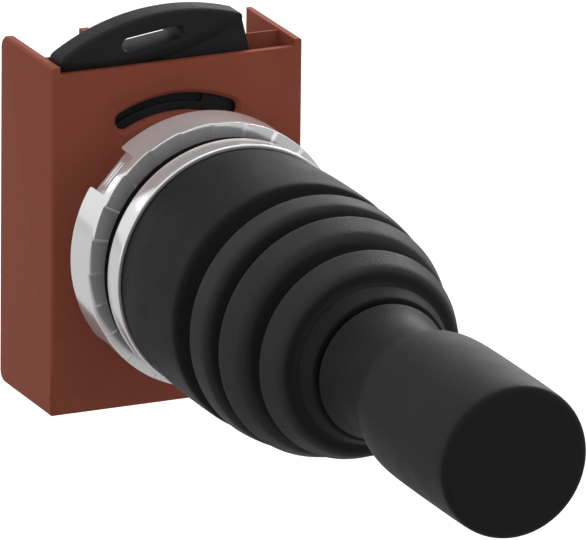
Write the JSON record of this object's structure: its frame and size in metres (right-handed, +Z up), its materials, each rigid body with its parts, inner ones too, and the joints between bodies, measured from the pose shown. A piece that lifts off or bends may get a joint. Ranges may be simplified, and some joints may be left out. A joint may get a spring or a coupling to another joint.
{
  "type": "industrial joystick",
  "caption": "Panel-mounted industrial joystick: black grip on a rubber bellows boot, bright ring nut, terracotta contact-block holder with a black lock lever.",
  "frame": {"origin": "on the barrel axis, in the plane where the gasket meets the front of the panel", "axes": "+Y runs backwards along the barrel into the panel, the grip points to -Y, +Z is up, +X is to the right seen from the grip"},
  "size_m": [0.0298, 0.0999, 0.0445],
  "materials": {
    "grip_plastic": "fine matt grain",
    "lever_plastic": "satin moulding",
    "boot_rubber": "matt rubber",
    "gasket_rubber": "matt rubber",
    "bright_plated": "bright plated, soft gloss",
    "holder_plastic": "satin moulding",
    "plain_steel": "turned",
    "spring_steel": "drawn wire",
    "machined_brass": "machined",
    "guide_plastic": "moulded, uncoloured"
  },
  "bodies": {
    "housing": {"barrel_body": "bright_plated", "panel_gasket": "gasket_rubber", "bezel_ring": "bright_plated", "boot": "boot_rubber", "holder": "holder_plastic", "holder_key": "plain_steel", "holder_circlip": "spring_steel", "guide_front": "guide_plastic", "guide_rear": "guide_plastic", "guide_post": "plain_steel", "guide_screw": "plain_steel", "guide_circlip": "spring_steel", "pivot_bushes": "machined_brass", "gate_ring": "plain_steel", "lever_washer": "spring_steel", "return_spring": "spring_steel", "plunger_springs": "spring_steel"},
    "nut": {"fixing_nut": "bright_plated"},
    "lever": {"lock_lever": "lever_plastic"},
    "gimbal": {"gimbal_ring": "machined_brass", "trunnion_pins": "plain_steel"},
    "stick": {"stick_shaft": "plain_steel", "cross_pin": "plain_steel", "rocker_plate": "plain_steel", "rocker_screw": "plain_steel", "spring_seat": "plain_steel", "boot_collar": "lever_plastic", "handle_locknut": "plain_steel", "handle_grip": "grip_plastic"},
    "plunger_top": {"plunger_top": "guide_plastic"},
    "plunger_bottom": {"plunger_bottom": "guide_plastic"},
    "plunger_left": {"plunger_left": "guide_plastic"},
    "plunger_right": {"plunger_right": "guide_plastic"}
  },
  "joints": [
    {"name": "tilt_x", "type": "hinge", "parent": "housing", "child": "gimbal", "pos_m": [0, -0.01, 0], "axis": [1, 0, 0], "range_deg": [-15, 15], "stiffness_Nm_per_rad": 0.6, "deforming": ["boot", "return_spring"]},
    {"name": "tilt_z", "type": "hinge", "parent": "gimbal", "child": "stick", "pos_m": [0, -0.01, 0], "axis": [0, 0, 1], "range_deg": [-15, 15], "stiffness_Nm_per_rad": 0.6, "deforming": ["boot", "return_spring"]},
    {"name": "lock_lever_turn", "type": "hinge", "parent": "housing", "child": "lever", "pos_m": [0, 0.014, 0], "axis": [0, 1, 0], "range_deg": [0, 14.8]},
    {"name": "nut_travel", "type": "slide", "parent": "housing", "child": "nut", "axis": [0, 1, 0], "range_m": [-0.0011, 0.0052]},
    {"name": "plunger_bottom_slide", "type": "slide", "parent": "housing", "child": "plunger_bottom", "axis": [0, 1, 0], "range_m": [-0.0018, 0.0018], "deforming": ["plunger_springs"]},
    {"name": "plunger_top_slide", "type": "slide", "parent": "housing", "child": "plunger_top", "axis": [0, 1, 0], "range_m": [-0.0018, 0.0018], "deforming": ["plunger_springs"]},
    {"name": "plunger_right_slide", "type": "slide", "parent": "housing", "child": "plunger_right", "axis": [0, 1, 0], "range_m": [-0.0018, 0.0018], "deforming": ["plunger_springs"]},
    {"name": "plunger_left_slide", "type": "slide", "parent": "housing", "child": "plunger_left", "axis": [0, 1, 0], "range_m": [-0.0018, 0.0018], "deforming": ["plunger_springs"]}
  ],
  "couplings": [
    {"joint": "plunger_bottom_slide", "follows": "tilt_x", "m_per_rad": 0.00665},
    {"joint": "plunger_top_slide", "follows": "tilt_x", "m_per_rad": -0.00665},
    {"joint": "plunger_right_slide", "follows": "tilt_z", "m_per_rad": 0.00665},
    {"joint": "plunger_left_slide", "follows": "tilt_z", "m_per_rad": -0.00665}
  ]
}
